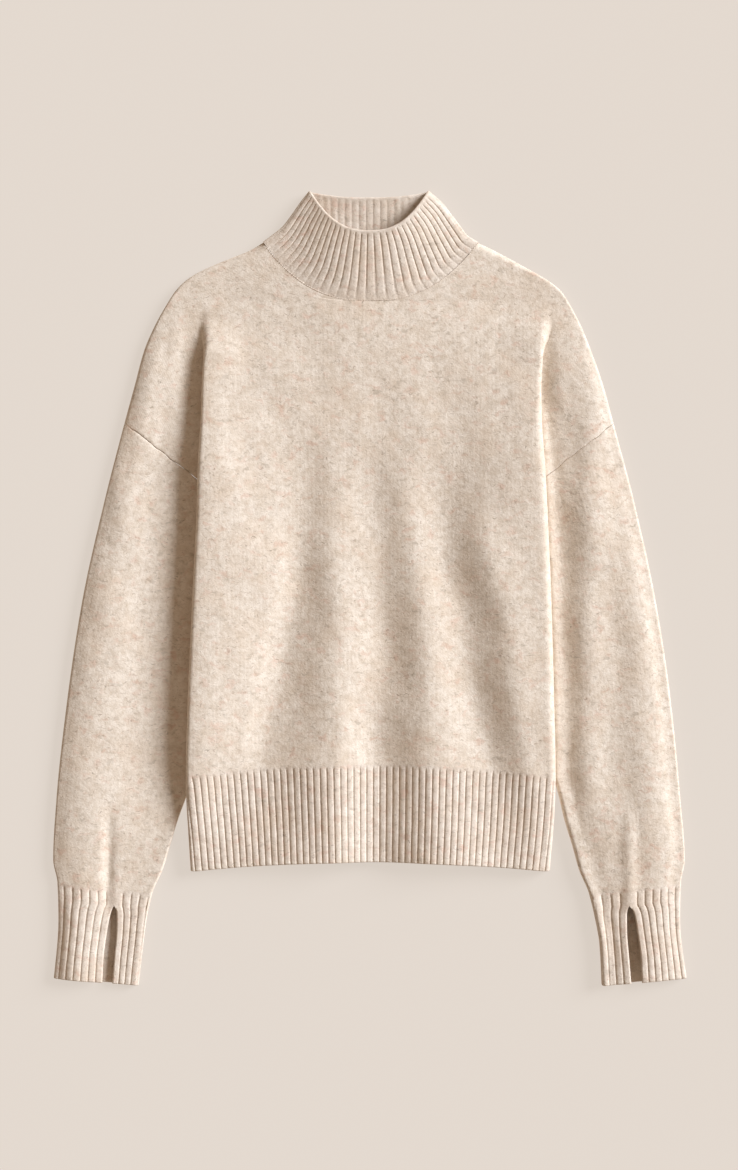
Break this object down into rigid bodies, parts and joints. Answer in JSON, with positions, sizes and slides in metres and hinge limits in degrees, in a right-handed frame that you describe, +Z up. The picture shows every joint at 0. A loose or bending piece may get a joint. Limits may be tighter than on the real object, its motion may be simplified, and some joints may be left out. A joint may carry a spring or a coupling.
{
  "type": "mock neck sweater",
  "caption": "Oversized felted wool sweater with a ribbed mock neck, dropped shoulders, full sleeves in split ribbed cuffs and a deep ribbed hem, lying flat on its back.",
  "frame": {"origin": "middle of the box round the sweater, on the surface it lies on", "axes": "+Z up from the surface, +Y from the hem towards the collar, +X to the wearer's left, which is the right of the picture"},
  "size_m": [0.5835, 0.7319, 0.0271],
  "materials": {
    "jersey": "felted, heathered wool jersey",
    "rib": "heathered wool rib"
  },
  "bodies": {
    "root": {"front_panel": "jersey", "back_panel": "jersey", "sleeve_right": "jersey", "sleeve_left": "jersey", "collar": "rib", "hem_rib_front": "rib", "hem_rib_back": "rib", "cuff_right": "rib", "cuff_left": "rib"}
  },
  "joints": []
}
